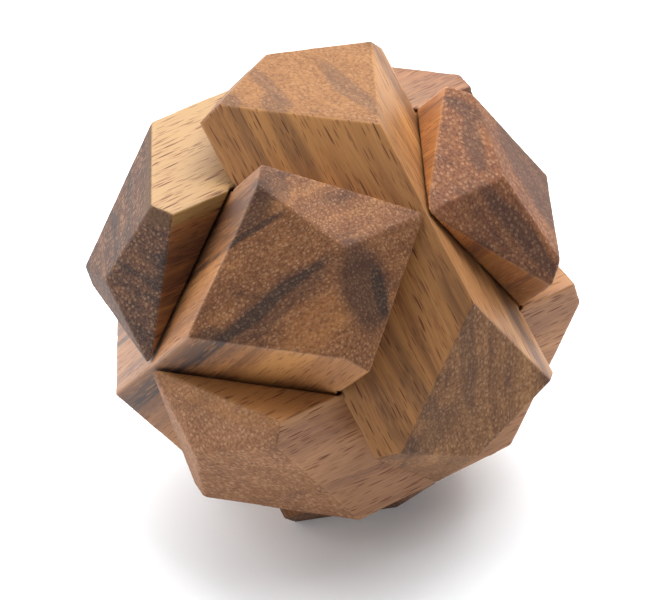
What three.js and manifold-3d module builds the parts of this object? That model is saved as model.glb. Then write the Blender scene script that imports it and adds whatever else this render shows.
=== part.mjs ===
// A six-stick diagonal burr: a take-apart wooden ball made of six alike sticks.
//
// Each stick is a square bar standing on its corner, with two V notches sawn into its inner edge. The
// sticks lie in three pairs at right angles. Every stick lies in the notches of two of its neighbours,
// and the other two neighbours lie in its own notches. The twelve ends are cut to bevels and cheeks,
// which together make the faceted ball.
//
// Puzzle frame: the pairs run along X, Y and Z, and the puzzle's centre is the origin. The whole puzzle
// is then tilted to lie on one end bevel, with that bevel at Z = 0 and the centre straight above it.

import * as THREE from 'three';
import { mergeVertices } from 'three/addons/utils/BufferGeometryUtils.js';
import Module from 'manifold-3d';

// Driving dimensions, in millimetres and degrees.
const STOCK_SIDE = 25;      // side of the square bar that the sticks are sawn from
const STICK_LENGTH = 70.7;  // from the ridge at one end of a stick to the ridge at the other
const BEVEL_REACH = 35.75;  // from the puzzle's centre to each end bevel
const BEVEL_ANGLE = 45;     // between a stick's length and the way its end bevel faces
const CHEEK_ANGLE = 20;     // how far each cheek of an end falls back from the ridge
const FIT_GAP = 0.3;        // play between a stick and the notch it lies in

// Sizes that follow from them.
const HALF_DIAGONAL = STOCK_SIDE / Math.SQRT2;
const NOTCH_HALF_DIAGONAL = HALF_DIAGONAL + FIT_GAP * Math.SQRT2;
const CUTTER_SIZE = 4 * Math.max(STOCK_SIDE, STICK_LENGTH, BEVEL_REACH);
const QUARTER_TURN = Math.PI / 2;

// Where each stick lies: which way it runs, and which way its outer edge looks from the centre.
const STICKS = [
  { name: 'upper_right_stick', runs: [1, 0, 0], looks: [0, 0, 1], colour: 0xbe8c58, roughness: 0.5 },
  { name: 'lower_left_stick', runs: [1, 0, 0], looks: [0, 0, -1], colour: 0xa0734b, roughness: 0.52 },
  { name: 'front_stick', runs: [0, 0, 1], looks: [0, -1, 0], colour: 0xa57348, roughness: 0.5 },
  { name: 'back_stick', runs: [0, 0, 1], looks: [0, 1, 0], colour: 0x8c5a3c, roughness: 0.48 },
  { name: 'lower_right_stick', runs: [0, 1, 0], looks: [1, 0, 0], colour: 0xaf7d55, roughness: 0.55 },
  { name: 'upper_left_stick', runs: [0, 1, 0], looks: [-1, 0, 0], colour: 0xcda069, roughness: 0.5 },
];

const wasm = await Module();
wasm.setup();

// A closed geometry as a solid that can be cut.
function toSolid(geometry) {
  const bare = geometry.clone();
  bare.deleteAttribute('normal');
  bare.deleteAttribute('uv');
  const merged = mergeVertices(bare);
  return new wasm.Manifold(new wasm.Mesh({
    numProp: 3,
    vertProperties: new Float32Array(merged.attributes.position.array),
    triVerts: new Uint32Array(merged.index.array),
  }));
}

// A solid as a geometry with flat facets.
function toGeometry(solid) {
  const mesh = solid.getMesh();
  const shared = new THREE.BufferGeometry();
  shared.setAttribute('position', new THREE.BufferAttribute(mesh.vertProperties, 3));
  shared.setIndex(new THREE.BufferAttribute(mesh.triVerts, 1));
  const faceted = shared.toNonIndexed();
  faceted.computeVertexNormals();
  return faceted;
}

// A square prism standing on its corner. It runs along Z, centred on the origin.
function cornerwisePrism(halfDiagonal, length) {
  const outline = new THREE.Shape();
  outline.moveTo(halfDiagonal, 0);
  outline.lineTo(0, halfDiagonal);
  outline.lineTo(-halfDiagonal, 0);
  outline.lineTo(0, -halfDiagonal);
  outline.closePath();
  const prism = new THREE.ExtrudeGeometry(outline, { depth: length, bevelEnabled: false });
  prism.translate(0, 0, -length / 2);
  return prism;
}

// The plain bar along X, with its inner edge on the X axis and its outer edge above it.
function plainBar() {
  const bar = cornerwisePrism(HALF_DIAGONAL, STICK_LENGTH);
  bar.rotateY(QUARTER_TURN);
  bar.translate(0, 0, HALF_DIAGONAL);
  return toSolid(bar);
}

// The room that a crossing neighbour takes out of the inner edge, on one side of the middle.
function notchCutter(side) {
  const cutter = cornerwisePrism(NOTCH_HALF_DIAGONAL, CUTTER_SIZE);
  cutter.rotateX(QUARTER_TURN);
  cutter.translate(side * HALF_DIAGONAL, 0, 0);
  return toSolid(cutter);
}

// A block whose near face stands across X, at the given reach from the centre.
function faceCutter(reach) {
  const cutter = new THREE.BoxGeometry(CUTTER_SIZE, CUTTER_SIZE, CUTTER_SIZE);
  cutter.translate(reach + CUTTER_SIZE / 2, 0, 0);
  return cutter;
}

// The bevel that looks out and along the stick.
function bevelCutter() {
  const cutter = faceCutter(BEVEL_REACH);
  cutter.rotateY(-THREE.MathUtils.degToRad(BEVEL_ANGLE));
  return cutter;
}

// One of the two cheeks that fall away from the end ridge.
function cheekCutter(side) {
  const angle = THREE.MathUtils.degToRad(CHEEK_ANGLE);
  const cutter = faceCutter((STICK_LENGTH / 2) * Math.cos(angle));
  cutter.rotateZ(side * angle);
  return cutter;
}

// Keeps a stick's inner edge off the stick opposite, where long sticks reach past their neighbours.
function partnerCutter() {
  const cutter = new THREE.BoxGeometry(CUTTER_SIZE, CUTTER_SIZE, CUTTER_SIZE);
  cutter.translate(0, 0, FIT_GAP / 2 - CUTTER_SIZE / 2);
  return toSolid(cutter);
}

// One whole stick along X, notched in the middle and shaped at both ends.
function stickGeometry() {
  let stick = plainBar();
  for (const side of [-1, 1]) {
    stick = stick.subtract(notchCutter(side));
  }
  for (const endTurn of [0, Math.PI]) {
    for (const cutter of [bevelCutter(), cheekCutter(-1), cheekCutter(1)]) {
      cutter.rotateZ(endTurn);
      stick = stick.subtract(toSolid(cutter));
    }
  }
  return toGeometry(stick.subtract(partnerCutter()));
}

// One stick in its own wood, turned to its place in the puzzle.
function placedStick({ name, runs, looks, colour, roughness }, geometry) {
  const material = new THREE.MeshStandardMaterial({ color: colour, roughness, metalness: 0 });
  const mesh = new THREE.Mesh(geometry, material);
  const along = new THREE.Vector3(...runs);
  const outward = new THREE.Vector3(...looks);
  const across = new THREE.Vector3().crossVectors(outward, along);
  mesh.name = name;
  mesh.quaternion.setFromRotationMatrix(new THREE.Matrix4().makeBasis(along, across, outward));
  return mesh;
}

// The assembled puzzle, tilted so that the lower left stick's +X end bevel looks straight down.
function restingPuzzle() {
  const geometry = stickGeometry();
  const puzzle = new THREE.Group();
  for (const place of STICKS) {
    puzzle.add(placedStick(place, geometry));
  }
  puzzle.rotation.y = QUARTER_TURN - THREE.MathUtils.degToRad(BEVEL_ANGLE);
  puzzle.position.z = BEVEL_REACH;
  return puzzle;
}

const burrPuzzle = new THREE.Group();
burrPuzzle.add(restingPuzzle());
burrPuzzle.updateMatrixWorld(true);

export default burrPuzzle;
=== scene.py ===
"""A six-stick wooden burr puzzle: its worn sticks, its woods and the studio around them."""

import logging
import math
from dataclasses import dataclass
from enum import Enum

import bmesh
import bpy
from mathutils import Matrix, Vector, noise


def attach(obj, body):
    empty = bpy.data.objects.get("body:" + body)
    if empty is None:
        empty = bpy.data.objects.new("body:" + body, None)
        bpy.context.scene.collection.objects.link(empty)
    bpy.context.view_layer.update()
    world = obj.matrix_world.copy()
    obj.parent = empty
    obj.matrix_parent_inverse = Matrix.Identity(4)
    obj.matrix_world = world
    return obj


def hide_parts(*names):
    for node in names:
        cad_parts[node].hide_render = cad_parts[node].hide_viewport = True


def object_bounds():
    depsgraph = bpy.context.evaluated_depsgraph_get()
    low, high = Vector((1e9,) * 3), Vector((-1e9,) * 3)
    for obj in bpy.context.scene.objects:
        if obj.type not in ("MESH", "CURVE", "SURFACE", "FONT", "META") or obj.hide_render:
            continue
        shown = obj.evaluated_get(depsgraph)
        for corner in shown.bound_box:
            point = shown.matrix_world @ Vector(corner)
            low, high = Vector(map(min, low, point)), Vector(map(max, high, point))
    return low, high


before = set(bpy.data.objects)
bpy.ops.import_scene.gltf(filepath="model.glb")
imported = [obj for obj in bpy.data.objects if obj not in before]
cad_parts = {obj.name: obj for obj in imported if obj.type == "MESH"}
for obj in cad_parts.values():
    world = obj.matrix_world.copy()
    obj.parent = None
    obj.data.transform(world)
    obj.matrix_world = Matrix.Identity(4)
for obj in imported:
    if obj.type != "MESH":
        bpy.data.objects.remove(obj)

log = logging.getLogger("burr_puzzle")

MM = 0.001
WORN_ATTRIBUTE = "worn"
CAD_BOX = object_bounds()

Colour = tuple[float, float, float]


def from_screen(red: int, green: int, blue: int) -> Colour:
    """A colour as seen on a screen, 0 to 255, turned into the linear values that shaders use.

    Args:
        red: Red on the screen.
        green: Green on the screen.
        blue: Blue on the screen.

    Returns:
        The linear colour.
    """
    def linear(level: int) -> float:
        """One channel as a linear value."""
        share = level / 255
        return share / 12.92 if share <= 0.04045 else ((share + 0.055) / 1.055) ** 2.4

    return linear(red), linear(green), linear(blue)


class Lie(Enum):
    """Directions that the sticks run in, or look out to, while the puzzle rests on its bevel."""

    RISING = (math.sqrt(0.5), 0.0, math.sqrt(0.5))
    SINKING = (-math.sqrt(0.5), 0.0, -math.sqrt(0.5))
    FALLING = (math.sqrt(0.5), 0.0, -math.sqrt(0.5))
    LIFTING = (-math.sqrt(0.5), 0.0, math.sqrt(0.5))
    BACKWARD = (0.0, 1.0, 0.0)
    FORWARD = (0.0, -1.0, 0.0)


# ---------------------------------------------------------------------------------------------------
# Shader building
# ---------------------------------------------------------------------------------------------------


class Value:
    """A number that changes over a surface. Arithmetic on it adds Math nodes."""

    def __init__(self, recipe: "Recipe", socket: bpy.types.NodeSocket) -> None:
        """Wraps an output socket of the recipe's node tree."""
        self.recipe = recipe
        self.socket = socket

    def _math(self, operation: str, first: "Value | float", second: "Value | float") -> "Value":
        """Adds one Math node on two operands."""
        node = self.recipe.add("ShaderNodeMath", {"operation": operation}, {0: first, 1: second})
        return Value(self.recipe, node.outputs[0])

    def __add__(self, other: "Value | float") -> "Value":
        """The sum."""
        return self._math("ADD", self, other)

    def __radd__(self, other: "Value | float") -> "Value":
        """The sum, with the value on the right."""
        return self._math("ADD", other, self)

    def __sub__(self, other: "Value | float") -> "Value":
        """The difference."""
        return self._math("SUBTRACT", self, other)

    def __rsub__(self, other: "Value | float") -> "Value":
        """The difference, with the value on the right."""
        return self._math("SUBTRACT", other, self)

    def __mul__(self, other: "Value | float") -> "Value":
        """The product."""
        return self._math("MULTIPLY", self, other)

    def __rmul__(self, other: "Value | float") -> "Value":
        """The product, with the value on the right."""
        return self._math("MULTIPLY", other, self)

    def __truediv__(self, other: "Value | float") -> "Value":
        """The quotient."""
        return self._math("DIVIDE", self, other)

    def size(self) -> "Value":
        """The value without its sign."""
        return self._math("ABSOLUTE", self, 0.0)

    def most(self, other: "Value | float") -> "Value":
        """The larger of two values."""
        return self._math("MAXIMUM", self, other)

    def step(self, start: float, end: float) -> "Value":
        """A soft step from 0 at start to 1 at end; start may be the larger one.

        Args:
            start: Where the step is still 0.
            end: Where the step has reached 1.

        Returns:
            The value of the step.
        """
        low, high = min(start, end), max(start, end)
        ends = (0.0, 1.0) if start < end else (1.0, 0.0)
        node = self.recipe.add(
            "ShaderNodeMapRange",
            {"interpolation_type": "SMOOTHSTEP"},
            {"Value": self, "From Min": low, "From Max": high, "To Min": ends[0], "To Max": ends[1]},
        )
        return Value(self.recipe, node.outputs["Result"])


class Recipe:
    """The node tree of one material."""

    def __init__(self, name: str) -> None:
        """Starts an empty material with that name."""
        self.material = bpy.data.materials.new(name)
        self.material.use_nodes = True
        self.tree = self.material.node_tree
        self.tree.nodes.clear()

    def add(self, kind: str, settings: dict | None = None, inputs: dict | None = None) -> bpy.types.Node:
        """Adds a node.

        Args:
            kind: The node's type.
            settings: Its own settings, which are made first.
            inputs: Values or links, by socket name, identifier or index.

        Returns:
            The node.
        """
        node = self.tree.nodes.new(kind)
        for key, setting in (settings or {}).items():
            setattr(node, key, setting)
        for key, given in (inputs or {}).items():
            socket = self._socket(node, key)
            source = given.socket if isinstance(given, Value) else given
            if isinstance(source, bpy.types.NodeSocket):
                self.tree.links.new(source, socket)
            else:
                socket.default_value = source
        return node

    @staticmethod
    def _socket(node: bpy.types.Node, key: str | int) -> bpy.types.NodeSocket:
        """Finds a node's input by index, identifier or name."""
        if isinstance(key, int):
            return node.inputs[key]
        for socket in node.inputs:
            if socket.identifier == key:
                return socket
        return node.inputs[key]

    def vector(self, operation: str, first: object, second: object) -> bpy.types.NodeSocket:
        """The vector that a Vector Math node makes of two operands."""
        node = self.add("ShaderNodeVectorMath", {"operation": operation}, {0: first, 1: second})
        return node.outputs["Vector"]

    def length(self, vector: bpy.types.NodeSocket) -> Value:
        """The length of a vector."""
        node = self.add("ShaderNodeVectorMath", {"operation": "LENGTH"}, {0: vector})
        return Value(self, node.outputs["Value"])

    def dot(self, first: object, second: object) -> Value:
        """The dot product of two vectors."""
        node = self.add("ShaderNodeVectorMath", {"operation": "DOT_PRODUCT"}, {0: first, 1: second})
        return Value(self, node.outputs["Value"])

    def attribute(self, name: str) -> Value:
        """A value that the mesh carries at each point."""
        node = self.add("ShaderNodeAttribute", {"attribute_name": name})
        return Value(self, node.outputs["Fac"])

    def mix(
        self, first: object, second: object, share: Value | float, blend: str = "MIX"
    ) -> bpy.types.NodeSocket:
        """Mixes two colours.

        Args:
            first: The colour where share is 0.
            second: The colour where share is 1.
            share: How much of the second colour shows.
            blend: The Mix node's blend type.

        Returns:
            The mixed colour's socket.
        """
        colours = {"A_Color": self._opaque(first), "B_Color": self._opaque(second), "Factor_Float": share}
        node = self.add("ShaderNodeMix", {"data_type": "RGBA", "blend_type": blend}, colours)
        return next(socket for socket in node.outputs if socket.identifier == "Result_Color")

    def tint(self, colour: object, tone: Colour) -> bpy.types.NodeSocket:
        """The colour multiplied by a tone."""
        return self.mix(colour, tone, 1.0, "MULTIPLY")

    @staticmethod
    def _opaque(colour: object) -> object:
        """A plain colour with its alpha added; a socket stays as it is."""
        return (*colour, 1.0) if isinstance(colour, tuple) else colour

    def cloud(
        self, place: bpy.types.NodeSocket, scale: float, detail: float, rough: float = 0.5
    ) -> bpy.types.Node:
        """A noise texture in three dimensions."""
        inputs = {"Vector": place, "Scale": scale, "Detail": detail, "Roughness": rough}
        return self.add("ShaderNodeTexNoise", {"noise_dimensions": "3D"}, inputs)

    def patches(
        self, place: bpy.types.NodeSocket, scale: float, detail: float, rough: float
    ) -> Value:
        """The same noise as one value."""
        return Value(self, self.cloud(place, scale, detail, rough).outputs["Fac"])


# ---------------------------------------------------------------------------------------------------
# Woods
# ---------------------------------------------------------------------------------------------------


# How the grain varies: patterns to a millimetre across, out and along the stick.
WANDER_PER_MM = (0.07, 0.07, 0.03)
SECTION_PER_MM = (1.0, 1.0, 0.02)
FIBRES_PER_MM = (3.6, 3.6, 0.11)
MOTTLE_PER_MM = (2.2, 2.2, 0.3)
WANDER_REACH = (3.6, 3.6, 0.0)  # how far the grain wanders, in mm

# Soft steps, each from where it is 0 to where it is 1.
END_FACING = (0.3, 0.66)  # how squarely a face looks along the stick, where it turns to end grain
STREAK_EDGE = (1.35, 0.45)  # a streak's edge, as a share of its size
VESSELS_KEPT = (0.45, 0.55)  # which of the vessels show
PALE_WEAR_AND_HIGHLIGHT = (0.15, 0.95)  # how worn an arris is before it is painted pale, as rubbed wood and a painted highlight

# The oiled surface: its roughness, and what the wood under the oil adds to it or takes away.
OILED_ROUGHNESS = 0.46
END_ROUGHNESS = 0.24
FIBRE_ROUGHNESS = 0.12
PORE_ROUGHNESS = 0.2
WORN_GLOSS = 0.08
OIL_IOR = 1.46

# The fine relief: the depth of an open pore, and how high the rest stands as a share of it.
PORE_HOLLOW = 0.1 * MM
FIBRE_HEIGHT = 0.25
MOTTLE_HEIGHT = 0.2
RELIEF_STRENGTH = 0.6


@dataclass(frozen=True)
class Streak:
    """A streak of differently coloured wood. It runs along the stick, and is an ellipse across it.

    Attributes:
        colour: Its colour, as long grain.
        across: Its centre, sideways from the stick's middle plane, in mm.
        out: Its centre, outwards from the stick's inner edge, in mm.
        turn: The turn of its long axis from the sideways direction, in degrees.
        reach: Half its length across the stick, in mm.
        width: Half its width, in mm.
        depth: How much of the wood's own colour it hides, from 0 to 1.
        ragged: How much the fibres fray its sides.
        start: Where along the stick it has come in fully, in mm from the middle.
        fade: Where along the stick it has gone; the far side of start is all streak.
    """

    colour: Colour
    across: float
    out: float
    turn: float
    reach: float
    width: float
    depth: float
    ragged: float = 1.0
    start: float = 0.0
    fade: float = -200.0

    def show(self, recipe: Recipe, bent: bpy.types.NodeSocket, fibre: Value) -> Value:
        """Where the streak shows.

        Args:
            recipe: The material.
            bent: Place in the stick's own frame, bent with the grain, in mm.
            fibre: The fibres that fray its sides.

        Returns:
            How much of it shows, from 0 to its depth.
        """
        turn = math.radians(self.turn)
        lengthways = (math.cos(turn) / self.reach, math.sin(turn) / self.reach, 0.0)
        sideways = (-math.sin(turn) / self.width, math.cos(turn) / self.width, 0.0)
        middle = recipe.vector("SUBTRACT", bent, (self.across, self.out, 0.0))
        across = recipe.dot(middle, sideways)
        down = recipe.dot(middle, lengthways)
        spread = across * across + down * down + (fibre - 0.5) * self.ragged
        along = recipe.dot(bent, (0.0, 0.0, 1.0))
        return spread.step(*STREAK_EDGE) * along.step(self.fade, self.start) * self.depth


@dataclass(frozen=True)
class Vessels:
    """One kind of vessel that runs along the stick, each vessel in a cell of its own.

    Attributes:
        dimensions: "2D" for vessels without end, "3D" for short ones.
        per_mm: How many cells there are to a millimetre, across, out and along.
        pore_size: Radius of a vessel, as a share of its cell.
        rim_size: Radius of the pale tissue around it, as a share of its cell.
    """

    dimensions: str
    per_mm: tuple[float, float, float]
    pore_size: float
    rim_size: float

    def show(
        self, recipe: Recipe, place: bpy.types.NodeSocket, crowd: Value
    ) -> tuple[Value, Value]:
        """Where the vessels show.

        Args:
            recipe: The material.
            place: Place in the stick's own frame, in mm.
            crowd: Raises the share of vessels that show.

        Returns:
            The open vessels and the pale tissue around them, each from 0 to 1.
        """
        cells = recipe.add(
            "ShaderNodeTexVoronoi",
            {"feature": "F1", "voronoi_dimensions": self.dimensions},
            {"Vector": recipe.vector("MULTIPLY", place, self.per_mm), "Scale": 1.0},
        )
        pick = recipe.add("ShaderNodeSeparateColor", {}, {"Color": cells.outputs["Color"]})
        kept = (Value(recipe, pick.outputs["Red"]) + crowd).step(*VESSELS_KEPT)
        strength = Value(recipe, pick.outputs["Green"]) * 0.6 + 0.4
        distance = Value(recipe, cells.outputs["Distance"])
        pore = self._disc(distance, self.pore_size) * kept * strength
        rim = self._disc(distance, self.rim_size) * kept * strength
        return pore, rim

    @staticmethod
    def _disc(distance: Value, radius: float) -> Value:
        """1 within about that radius and 0 beyond it, with a soft edge."""
        return distance.step(radius * 1.2, radius * 0.75)


@dataclass
class Grain:
    """The grain of one stick, as values that change over its surface.

    Attributes:
        recipe: The material.
        shifted: Place in the stick's own frame, in mm, moved along the stick.
        bent: Place in the stick's own frame, in mm, bent with the wander of the grain.
        end: 1 on end grain and 0 on long grain.
        rings: The growth rings, uneven in width.
        figure: Broad patches of paler and darker wood.
        fibre: Fibres along the stick.
        mottle: Small clouds of paler and darker tissue.
    """

    recipe: Recipe
    shifted: bpy.types.NodeSocket
    bent: bpy.types.NodeSocket
    end: Value
    rings: Value
    figure: Value
    fibre: Value
    mottle: Value


@dataclass(frozen=True)
class Wood:
    """The wood of one stick, oiled and sanded. Its own frame is across, out and along the stick.

    Attributes:
        pale: Colour of the lightest long grain.
        middle: Colour of most of the long grain.
        deep: Colour of the darkest ordinary rings.
        end_tone: What the end grain does to the long grain's colour.
        fleck_share: How strongly the pale flecks in the end grain show.
        flecks_per_mm: How many of those flecks there are to a millimetre.
        pore_share: How strongly the dark pore lines show.
        line_crowd: How many more of those lines there are than in plain wood.
        pith: Where the growth rings are centred, sideways and outwards, in mm.
        ring_pitch: About how far apart the rings are, in mm.
        ring_depth: How far the rings swing the colour between pale and deep.
        tone: How far the ring colours lean to pale, from -1 to 1.
        shift: Moves the pattern along the stick, in mm, so that no two sticks are alike.
        streaks: The streaks of other colours.
    """

    pale: Colour
    middle: Colour
    deep: Colour
    end_tone: Colour
    fleck_share: float
    flecks_per_mm: float
    pore_share: float
    line_crowd: float
    pith: tuple[float, float]
    ring_pitch: float
    ring_depth: float
    tone: float
    shift: float
    streaks: tuple[Streak, ...] = ()

    def material(self, name: str, axes: Matrix, centre: Vector) -> bpy.types.Material:
        """Makes the wood for a stick.

        Args:
            name: The material's name.
            axes: The stick's own directions as columns: across, out and along.
            centre: The puzzle's centre, in metres.

        Returns:
            The finished material.
        """
        recipe = Recipe(name)
        grain = self._grain(recipe, axes, centre)
        colour, covered = self._streaked(grain, self._long_grain(grain))
        colour = recipe.mix(colour, recipe.tint(colour, self.end_tone), grain.end)
        colour, pore = self._porous(grain, colour, covered)
        worn = recipe.attribute(WORN_ATTRIBUTE)
        # Worn arrises are painted pale: partly rubbed wood, partly a painted highlight along each arris.
        colour = recipe.mix(colour, self.pale, worn.step(*PALE_WEAR_AND_HIGHLIGHT) * 0.4)
        self._oil(grain, colour, pore, worn)
        return recipe.material

    def _grain(self, recipe: Recipe, axes: Matrix, centre: Vector) -> Grain:
        """Lays the grain out in the stick's own frame.

        Args:
            recipe: The material.
            axes: The stick's own directions as columns.
            centre: The puzzle's centre, in metres.

        Returns:
            The grain's places and values.
        """
        place = recipe.add("ShaderNodeTexCoord")
        local = recipe.add(
            "ShaderNodeMapping",
            {"vector_type": "TEXTURE"},
            {
                "Vector": place.outputs["Object"],
                "Location": centre,
                "Rotation": axes.to_euler(),
                "Scale": (MM, MM, MM),
            },
        ).outputs["Vector"]
        shifted = recipe.vector("ADD", local, (0.0, 0.0, self.shift))
        wander = recipe.cloud(recipe.vector("MULTIPLY", shifted, WANDER_PER_MM), 1.0, 2.0)
        sway = recipe.vector("SUBTRACT", wander.outputs["Color"], (0.5, 0.5, 0.5))
        bent = recipe.vector("ADD", local, recipe.vector("MULTIPLY", sway, WANDER_REACH))
        section = recipe.vector("MULTIPLY", bent, SECTION_PER_MM)
        fibre_place = recipe.vector("MULTIPLY", bent, FIBRES_PER_MM)
        mottle_place = recipe.vector("MULTIPLY", bent, MOTTLE_PER_MM)
        facing = recipe.dot(place.outputs["Normal"], tuple(axes.col[2])).size()
        return Grain(
            recipe=recipe,
            shifted=shifted,
            bent=bent,
            end=facing.step(*END_FACING),
            rings=self._rings(recipe, section),
            figure=recipe.patches(section, 0.16, 3.0, 0.6),
            fibre=recipe.patches(fibre_place, 1.0, 3.0, 0.65),
            mottle=recipe.patches(mottle_place, 1.0, 3.0, 0.75),
        )

    def _rings(self, recipe: Recipe, section: bpy.types.NodeSocket) -> Value:
        """The growth rings, uneven in width, as a value from 0 to 1."""
        radius = recipe.length(recipe.vector("SUBTRACT", section, (*self.pith, 0.0)))
        inputs = {"W": radius / self.ring_pitch, "Scale": 1.0, "Detail": 3.0, "Roughness": 0.62}
        node = recipe.add("ShaderNodeTexNoise", {"noise_dimensions": "1D"}, inputs)
        return Value(recipe, node.outputs["Fac"])

    def _long_grain(self, grain: Grain) -> bpy.types.NodeSocket:
        """The colour of the rings, with the fibres over them."""
        recipe = grain.recipe
        tone = grain.rings * self.ring_depth + grain.figure
        tone = tone + (self.tone - self.ring_depth) * 0.5
        from_deep, to_pale = tone.step(0.2, 0.5), tone.step(0.5, 0.8)
        colour = recipe.mix(recipe.mix(self.deep, self.middle, from_deep), self.pale, to_pale)
        dark_fibres = grain.fibre.step(0.45, 0.75) * 0.6
        pale_fibres = grain.fibre.step(0.5, 0.25) * 0.4
        return recipe.mix(recipe.mix(colour, self.deep, dark_fibres), self.pale, pale_fibres)

    def _streaked(
        self, grain: Grain, colour: bpy.types.NodeSocket
    ) -> tuple[bpy.types.NodeSocket, Value | float]:
        """Lays the streaks over the long grain.

        Args:
            grain: The stick's grain.
            colour: The long grain's colour.

        Returns:
            The new colour, and how much of it is streak.
        """
        covered = 0.0
        for streak in self.streaks:
            share = streak.show(grain.recipe, grain.bent, grain.fibre)
            colour = grain.recipe.mix(colour, streak.colour, share)
            covered = share.most(covered)
        return colour, covered

    def _porous(
        self, grain: Grain, colour: bpy.types.NodeSocket, covered: Value | float
    ) -> tuple[bpy.types.NodeSocket, Value]:
        """Opens the vessels: pale flecks with dark middles on end grain, dark lines on long grain.

        Args:
            grain: The stick's grain.
            colour: The wood's colour so far.
            covered: How much of it is streak, where the flecks are thinner.

        Returns:
            The new colour, and how open the pores are.
        """
        recipe, bent, end = grain.recipe, grain.bent, grain.end
        side = 1.0 - end
        in_rings = grain.rings.step(0.35, 0.65) * 0.4
        in_patches = grain.figure.step(0.35, 0.6) * 0.35
        crowd = in_rings + in_patches - 0.25
        line_crowd = crowd + (self.line_crowd + 0.15)
        short_line_crowd = crowd + (self.line_crowd * 0.5 + 0.1)
        large_vessels = Vessels("2D", (self.flecks_per_mm,) * 3, 0.1, 0.3)
        spots, rims = large_vessels.show(recipe, bent, crowd)
        small_spots, small_rims = SMALL_VESSELS.show(recipe, bent, crowd)
        lines, sheaths = LONG_LINES.show(recipe, bent, line_crowd)
        short_lines, _ = SHORT_LINES.show(recipe, grain.shifted, short_line_crowd)

        pale_clouds = grain.mottle.step(0.48, 0.66) * 0.4
        dark_clouds = grain.mottle.step(0.52, 0.36) * 0.5
        rim = rims.most(small_rims * 0.5).most(pale_clouds)
        fleck = rim * end * self.fleck_share * (1.0 - covered * 0.6)
        colour = recipe.mix(colour, self._deep_end(), dark_clouds * end)
        tissue = recipe.mix(recipe.tint(colour, FLECK_LIFT), FLECK, 0.65)
        colour = recipe.mix(colour, tissue, fleck)
        colour = recipe.mix(colour, self.middle, sheaths * side * 0.6)

        end_pores = spots.most(small_spots * 0.7) * end * 0.45
        side_pores = lines.most(short_lines * 0.8) * side * self.pore_share
        pore = end_pores + side_pores
        return recipe.mix(colour, recipe.tint(colour, PORE_TONE), pore), pore

    def _deep_end(self) -> Colour:
        """The colour of the darkest tissue in the end grain."""
        return tuple(part * tone * 0.8 for part, tone in zip(self.deep, self.end_tone))

    @staticmethod
    def _oil(grain: Grain, colour: bpy.types.NodeSocket, pore: Value, worn: Value) -> None:
        """Finishes the surface: oiled, open in the pores, drier on end grain, rubbed where worn.

        Args:
            grain: The stick's grain.
            colour: The wood's finished colour.
            pore: How open the pores are.
            worn: How much of an arris has been worn away.
        """
        recipe, end, fibre = grain.recipe, grain.end, grain.fibre
        height = fibre * FIBRE_HEIGHT - pore + grain.mottle * end * MOTTLE_HEIGHT
        bump = recipe.add(
            "ShaderNodeBump",
            {},
            {"Height": height, "Distance": PORE_HOLLOW, "Strength": RELIEF_STRENGTH},
        )
        dry = end * END_ROUGHNESS + fibre * FIBRE_ROUGHNESS + pore * PORE_ROUGHNESS
        rough = OILED_ROUGHNESS + dry - worn * WORN_GLOSS
        surface = recipe.add(
            "ShaderNodeBsdfPrincipled",
            {},
            {
                "Base Color": colour,
                "Roughness": rough,
                "Normal": bump.outputs["Normal"],
                "IOR": OIL_IOR,
            },
        )
        recipe.add("ShaderNodeOutputMaterial", {}, {"Surface": surface.outputs["BSDF"]})


SMALL_VESSELS = Vessels("2D", (3.0, 3.0, 3.0), 0.14, 0.3)
LONG_LINES = Vessels("3D", (1.9, 1.9, 0.14), 0.25, 0.45)
SHORT_LINES = Vessels("3D", (2.9, 2.9, 0.27), 0.24, 0.4)

# What an open pore and the pale tissue do to the wood's own colour.
PORE_TONE: Colour = (0.28, 0.12, 0.05)
FLECK_LIFT: Colour = (2.0, 2.3, 2.5)

# The colours of the flecks and the streaks.
FLECK = from_screen(170, 134, 102)
BLACK = from_screen(44, 27, 22)
DARK_BROWN = from_screen(70, 41, 27)
GREY_BROWN = from_screen(108, 79, 63)
GOLD = from_screen(185, 131, 72)
SAPWOOD = from_screen(154, 120, 72)

# Each streak's numbers are across, out, turn, reach, width, depth, ragged, start and fade.
GOLDEN = Wood(
    pale=from_screen(186, 136, 82), middle=from_screen(156, 107, 61), deep=from_screen(106, 66, 37),
    end_tone=(0.52, 0.45, 0.35),
    fleck_share=0.7, flecks_per_mm=1.5, pore_share=0.95, line_crowd=0.28,
    pith=(60.0, 25.0), ring_pitch=3.2, ring_depth=0.8, tone=0.05, shift=11.0,
    streaks=(
        Streak(GOLD, 0.0, 26.0, 0.0, 16.0, 12.0, 0.6, 0.6, -24.0, -4.0),
        Streak(DARK_BROWN, -9.0, 25.0, 45.0, 2.0, 3.0, 0.5, 2.0),
        Streak(DARK_BROWN, -13.0, 21.0, 45.0, 1.4, 2.0, 0.5, 2.0),
        Streak(GREY_BROWN, 3.0, 27.0, -80.0, 7.0, 1.6, 0.5, 0.8, -20.0, 0.0),
        Streak(GREY_BROWN, -6.0, 21.5, -80.0, 5.5, 1.4, 0.5, 0.8, -20.0, 0.0),
        Streak(DARK_BROWN, -1.2, 29.0, -86.0, 8.0, 1.5, 0.45, 1.3, 14.0, 2.0),
        Streak(DARK_BROWN, -9.0, 20.5, 20.0, 8.5, 2.2, 0.35, 1.3, 14.0, 2.0),
    ),
)
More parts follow.
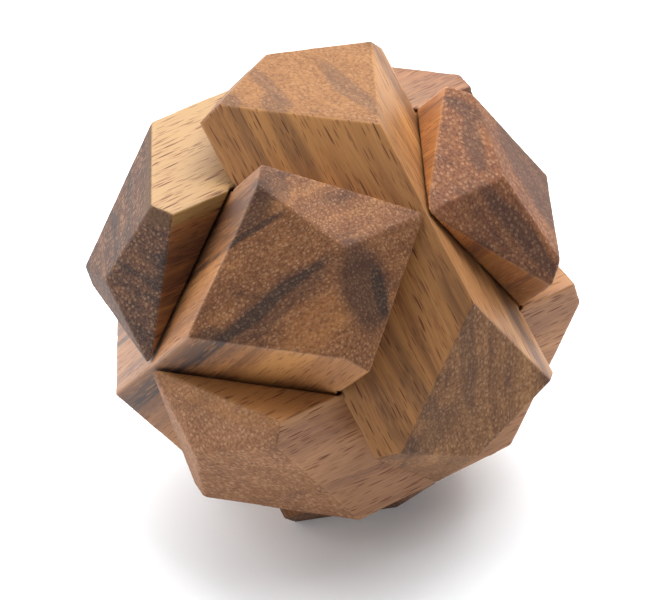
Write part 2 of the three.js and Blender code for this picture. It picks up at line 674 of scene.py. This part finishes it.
BROWN = Wood(
    pale=from_screen(184, 132, 80), middle=from_screen(150, 100, 57), deep=from_screen(100, 62, 36),
    end_tone=(0.56, 0.45, 0.34),
    fleck_share=0.75, flecks_per_mm=1.8, pore_share=0.7, line_crowd=0.15,
    pith=(60.0, 16.0), ring_pitch=3.6, ring_depth=0.7, tone=0.0, shift=-60.0,
    streaks=(
        Streak(GOLD, -8.5, 23.0, -60.0, 5.0, 3.0, 0.5),
        Streak(DARK_BROWN, -2.6, 26.5, -80.0, 10.0, 2.4, 0.6, 1.0),
        Streak(BLACK, -1.9, 26.5, -80.0, 9.5, 1.0, 0.85, 1.4),
        Streak(DARK_BROWN, -6.5, 14.0, -10.0, 6.5, 4.5, 0.8, 0.8),
        Streak(BLACK, -8.0, 11.5, -8.0, 4.0, 1.3, 0.9, 1.3),
        Streak(DARK_BROWN, 12.5, 23.0, -50.0, 4.5, 3.0, 0.8, 2.0),
        Streak(BLACK, 8.6, 24.0, -82.0, 4.5, 0.6, 0.8, 1.5),
        Streak(GREY_BROWN, 14.0, 18.0, -20.0, 4.0, 2.0, 0.6, 1.0),
        Streak(BLACK, -2.0, 33.0, -45.0, 2.0, 2.0, 0.6, 2.0),
    ),
)
RUSSET = Wood(
    pale=from_screen(204, 142, 74), middle=from_screen(168, 108, 56), deep=from_screen(114, 68, 40),
    end_tone=(0.42, 0.31, 0.24),
    fleck_share=0.78, flecks_per_mm=1.25, pore_share=0.6, line_crowd=0.15,
    pith=(22.0, -40.0), ring_pitch=3.0, ring_depth=0.8, tone=0.0, shift=140.0,
    streaks=(
        Streak(DARK_BROWN, 8.5, 15.5, 24.0, 10.0, 1.6, 0.7, 1.8),
        Streak(DARK_BROWN, 8.0, 13.0, 24.0, 12.0, 4.5, 0.4, 1.0),
        Streak(GREY_BROWN, -7.0, 15.0, -30.0, 5.0, 1.6, 0.7, 2.0),
        Streak(GREY_BROWN, -12.0, 18.0, 30.0, 4.0, 1.6, 0.6, 2.0),
        Streak(GREY_BROWN, 0.0, 28.0, 0.0, 12.0, 7.0, 0.7, 1.0),
    ),
)
TAN = Wood(
    pale=from_screen(190, 138, 94), middle=from_screen(162, 112, 71), deep=from_screen(124, 80, 52),
    end_tone=(0.6, 0.52, 0.44),
    fleck_share=0.9, flecks_per_mm=1.3, pore_share=0.95, line_crowd=0.25,
    pith=(24.0, -60.0), ring_pitch=4.0, ring_depth=0.5, tone=0.0, shift=-190.0,
    streaks=(Streak(GOLD, 9.0, 9.0, 45.0, 13.0, 3.0, 0.5, 0.8),),
)
STRAW = Wood(
    pale=from_screen(176, 124, 70), middle=from_screen(135, 86, 48), deep=from_screen(79, 46, 28),
    end_tone=(0.26, 0.18, 0.12),
    fleck_share=0.6, flecks_per_mm=1.2, pore_share=1.0, line_crowd=0.5,
    pith=(40.0, -22.0), ring_pitch=2.2, ring_depth=1.0, tone=-0.1, shift=260.0,
    streaks=(
        Streak(SAPWOOD, -9.2, 27.2, 45.0, 24.0, 3.0, 0.95, 0.4, 5.0, 25.0),
        Streak(BLACK, -9.0, 7.0, -45.0, 6.0, 1.6, 0.6, 2.0),
        Streak(DARK_BROWN, -12.0, 12.0, -45.0, 4.0, 2.0, 0.6, 2.0),
    ),
)
UMBER = Wood(
    pale=from_screen(171, 124, 83), middle=from_screen(140, 95, 61), deep=from_screen(97, 63, 41),
    end_tone=(0.54, 0.49, 0.46),
    fleck_share=0.85, flecks_per_mm=1.6, pore_share=0.8, line_crowd=0.15,
    pith=(-12.0, 48.0), ring_pitch=3.4, ring_depth=0.8, tone=0.0, shift=330.0,
)


# ---------------------------------------------------------------------------------------------------
# Sticks
# ---------------------------------------------------------------------------------------------------


JOIN_DISTANCE = 0.001 * MM  # corners closer than this are one corner
FLAT_ANGLE = math.radians(1.0)  # facets that meet at less than this are one face


@dataclass
class Stick:
    """One notched stick, its arrises softened by sanding and handling.

    Attributes:
        node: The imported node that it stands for, and the body that it rides on.
        along: Which way it runs.
        out: Which way its outer edge looks.
        wood: What it is made of.
        seed: Picks where it is worn.
        grid: Spacing of the fine mesh, in metres.
        even_passes: Smoothing passes that every part of it gets.
        extra_passes: Further passes where it is worn.
        wear_size: Size of the patches that are worn, in mm.
        wear_level: How high the noise is where a patch starts, from -1 to 1.
        full_wear: How far a fully worn arris has moved in, in metres.
        ripple: How far the sanded faces wander from flat, in metres.
        ripple_size: Size of their swells, in mm.
    """

    node: str
    along: Lie
    out: Lie
    wood: Wood
    seed: float
    grid: float = 0.35 * MM
    even_passes: int = 1
    extra_passes: int = 3
    wear_size: float = 9.0
    wear_level: float = 0.06
    full_wear: float = 0.2 * MM
    ripple: float = 0.04 * MM
    ripple_size: float = 7.0

    def axes(self) -> Matrix:
        """The stick's own directions as columns: across, out and along."""
        along = Vector(self.along.value)
        out = Vector(self.out.value)
        return Matrix((out.cross(along), out, along)).transposed()

    def build(self) -> bpy.types.Object:
        """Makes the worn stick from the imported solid.

        Returns:
            The finished object, in place.
        """
        piece = bpy.data.objects.new(f"worn_{self.node}", self._clean_copy())
        bpy.context.scene.collection.objects.link(piece)
        remesh = piece.modifiers.new("fine_grid", "REMESH")
        remesh.mode = "VOXEL"
        remesh.voxel_size = self.grid
        depsgraph = bpy.context.evaluated_depsgraph_get()
        fine = bpy.data.meshes.new_from_object(piece.evaluated_get(depsgraph))
        piece.modifiers.clear()
        piece.data = fine
        self._wear(fine)
        return piece

    def _clean_copy(self) -> bpy.types.Mesh:
        """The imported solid's faces, joined up and without needless edges."""
        blank = bmesh.new()
        blank.from_mesh(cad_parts[self.node].data)
        bmesh.ops.remove_doubles(blank, verts=blank.verts, dist=JOIN_DISTANCE)
        bmesh.ops.dissolve_limit(
            blank, angle_limit=FLAT_ANGLE, verts=blank.verts, edges=blank.edges
        )
        mesh = bpy.data.meshes.new(f"blank_{self.node}")
        blank.to_mesh(mesh)
        blank.free()
        return mesh

    def _wear(self, mesh: bpy.types.Mesh) -> None:
        """Softens the arrises, more in some places than in others, and notes where.

        Args:
            mesh: The fine mesh, which is changed.
        """
        shape = bmesh.new()
        shape.from_mesh(mesh)
        sharp = [vertex.co.copy() for vertex in shape.verts]
        self._smooth(shape, list(shape.verts), self.even_passes)
        worn = [
            vertex for vertex in shape.verts
            if self._noise(vertex.co, self.wear_size) > self.wear_level
        ]
        self._smooth(shape, worn, self.extra_passes)
        shape.normal_update()
        loss = [(vertex.co - old).length for vertex, old in zip(shape.verts, sharp)]
        for vertex in shape.verts:
            dip = self._noise(vertex.co, self.ripple_size) - 1.0
            vertex.co += vertex.normal * dip * self.ripple
        for face in shape.faces:
            face.smooth = True
        shape.to_mesh(mesh)
        shape.free()
        attribute = mesh.attributes.new(WORN_ATTRIBUTE, "FLOAT", "POINT")
        attribute.data.foreach_set("value", [min(1.0, lost / self.full_wear) for lost in loss])

    def _noise(self, place: Vector, size: float) -> float:
        """Smooth noise about 0, with swells of that size in mm, different for each stick."""
        return noise.noise(place / (size * MM) + Vector((self.seed, 2.0 * self.seed, 0.0)))

    @staticmethod
    def _smooth(shape: bmesh.types.BMesh, vertices: list[bmesh.types.BMVert], passes: int) -> None:
        """Runs smoothing passes over some vertices."""
        for _ in range(passes):
            bmesh.ops.smooth_vert(
                shape, verts=vertices, factor=0.5, use_axis_x=True, use_axis_y=True, use_axis_z=True
            )

    def dress(self, piece: bpy.types.Object, centre: Vector) -> None:
        """Gives the stick its wood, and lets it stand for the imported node.

        Args:
            piece: The worn stick.
            centre: The puzzle's centre.
        """
        piece.data.materials.clear()
        piece.data.materials.append(self.wood.material(f"{self.node}_wood", self.axes(), centre))
        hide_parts(self.node)
        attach(piece, self.node)


# ---------------------------------------------------------------------------------------------------
# Studio
# ---------------------------------------------------------------------------------------------------


@dataclass
class Studio:
    """A plain white light table in soft light, and the camera.

    Attributes:
        azimuth: Where the camera stands, in degrees round from the front, towards the right.
        elevation: How far the camera looks down, in degrees.
        roll: How far the camera leans to its right, in degrees.
        distance: From the camera to what it looks at, in metres.
        lens: The camera's focal length, in mm.
        sensor: The width of the camera's sensor, in mm.
        nearest: The nearest that the camera sees, in metres.
        aim: What the camera looks at, from the ball's centre, in metres.
        floor_side: Side of the table top, in metres.
        floor_colour: Colour of the table top.
        floor_roughness: How matt the table top is.
        floor_glow_colour: Colour of the light that comes up through the table top.
        floor_glow: How strong that light is.
        room_light: How strongly the white room lights the ball.
        room_look: How bright the white room looks to the camera.
        light_distance: From the ball to each softbox, in metres.
        light_side: Side of each softbox, in metres.
    """

    # Each softbox's name, the way to it from the ball, and its power in watts.
    SOFTBOXES = (
        ("back_light", Vector((0.0, 0.5, 1.0)), 14.0),
        ("corner_light", Vector((-0.5, 0.45, 1.0)), 10.5),
        ("side_light", Vector((-0.6, -0.8, 0.6)), 8.0),
        ("low_light", Vector((-1.0, 0.0, 0.4)), 8.0),
    )

    azimuth: float = 54.3
    elevation: float = 33.0
    roll: float = 3.1
    distance: float = 0.601
    lens: float = 206.0
    sensor: float = 36.0
    nearest: float = 0.01
    aim: tuple[float, float, float] = (1.04 * MM, -0.85 * MM, -2.06 * MM)
    floor_side: float = 2.0
    floor_colour: Colour = (0.80, 0.82, 0.84)
    floor_roughness: float = 0.65
    floor_glow_colour: Colour = (0.96, 0.98, 1.0)
    floor_glow: float = 0.15
    room_light: float = 0.03
    room_look: float = 1.0
    light_distance: float = 0.9
    light_side: float = 1.1

    def build(self, centre: Vector) -> None:
        """Makes the floor, the lights and the camera.

        Args:
            centre: The ball's centre.
        """
        self._floor()
        self._world()
        for name, heading, power in self.SOFTBOXES:
            self._softbox(name, centre, heading.normalized(), power)
        self._camera(centre)
        scene = bpy.context.scene
        scene.view_settings.view_transform = "Standard"
        scene.view_settings.look = "None"

    def _floor(self) -> None:
        """A white table top, faintly lit from below, that the ball stands on."""
        shape = bmesh.new()
        bmesh.ops.create_grid(shape, x_segments=1, y_segments=1, size=self.floor_side / 2)
        mesh = bpy.data.meshes.new("table_top")
        shape.to_mesh(mesh)
        shape.free()
        floor = bpy.data.objects.new("table_top", mesh)
        bpy.context.scene.collection.objects.link(floor)
        recipe = Recipe("white_table")
        surface = recipe.add(
            "ShaderNodeBsdfPrincipled",
            {},
            {
                "Base Color": (*self.floor_colour, 1.0),
                "Roughness": self.floor_roughness,
                "Emission Color": (*self.floor_glow_colour, 1.0),
                "Emission Strength": self.floor_glow,
            },
        )
        recipe.add("ShaderNodeOutputMaterial", {}, {"Surface": surface.outputs["BSDF"]})
        mesh.materials.append(recipe.material)

    def _world(self) -> None:
        """A faint even light from all around, in a room that looks white to the camera."""
        world = bpy.data.worlds.new("white_room")
        world.use_nodes = True
        tree = world.node_tree
        background = tree.nodes["Background"]
        background.inputs["Color"].default_value = (1.0, 1.0, 1.0, 1.0)
        rays = tree.nodes.new("ShaderNodeLightPath")
        strength = tree.nodes.new("ShaderNodeMapRange")
        strength.inputs["To Min"].default_value = self.room_light
        strength.inputs["To Max"].default_value = self.room_look
        tree.links.new(rays.outputs["Is Camera Ray"], strength.inputs["Value"])
        tree.links.new(strength.outputs["Result"], background.inputs["Strength"])
        bpy.context.scene.world = world

    def _softbox(self, name: str, centre: Vector, heading: Vector, power: float) -> None:
        """A square area light that looks at the ball.

        Args:
            name: The light's name.
            centre: The ball's centre.
            heading: The way from the ball to the light.
            power: Its power, in watts.
        """
        light = bpy.data.lights.new(name, "AREA")
        light.size = self.light_side
        light.energy = power
        lamp = bpy.data.objects.new(name, light)
        lamp.location = centre + heading * self.light_distance
        lamp.rotation_euler = (-heading).to_track_quat("-Z", "Y").to_euler()
        bpy.context.scene.collection.objects.link(lamp)

    def _camera(self, centre: Vector) -> None:
        """The camera, at the working angle."""
        turn, tilt = math.radians(self.azimuth), math.radians(self.elevation)
        back = Vector((math.sin(turn) * math.cos(tilt), -math.cos(turn) * math.cos(tilt), math.sin(tilt)))
        target = centre + Vector(self.aim)
        data = bpy.data.cameras.new("camera")
        data.lens = self.lens
        data.sensor_width = self.sensor
        data.clip_start = self.nearest
        camera = bpy.data.objects.new("camera", data)
        level = (-back).to_track_quat("-Z", "Y").to_matrix()
        lean = Matrix.Rotation(math.radians(-self.roll), 3, "Z")
        camera.matrix_world = Matrix.Translation(target + back * self.distance) @ (level @ lean).to_4x4()
        bpy.context.scene.collection.objects.link(camera)
        bpy.context.scene.camera = camera


def main() -> None:
    """Builds the studio and the six sticks, and reports each."""
    logging.basicConfig(level=logging.INFO, format="%(message)s")
    low, high = CAD_BOX
    centre = (Vector(low) + Vector(high)) / 2
    Studio().build(centre)
    sticks = (
        Stick("upper_right_stick", Lie.FALLING, Lie.RISING, GOLDEN, 1.3),
        Stick("lower_left_stick", Lie.FALLING, Lie.SINKING, UMBER, 5.1),
        Stick("front_stick", Lie.RISING, Lie.FORWARD, BROWN, 9.7),
        Stick("back_stick", Lie.RISING, Lie.BACKWARD, RUSSET, 14.2),
        Stick("lower_right_stick", Lie.BACKWARD, Lie.FALLING, TAN, 19.9),
        Stick("upper_left_stick", Lie.BACKWARD, Lie.LIFTING, STRAW, 23.6),
    )
    for stick in sticks:
        piece = stick.build()
        stick.dress(piece, centre)
        log.info("%s: %d faces", piece.name, len(piece.data.polygons))


if __name__ == "__main__":
    main()
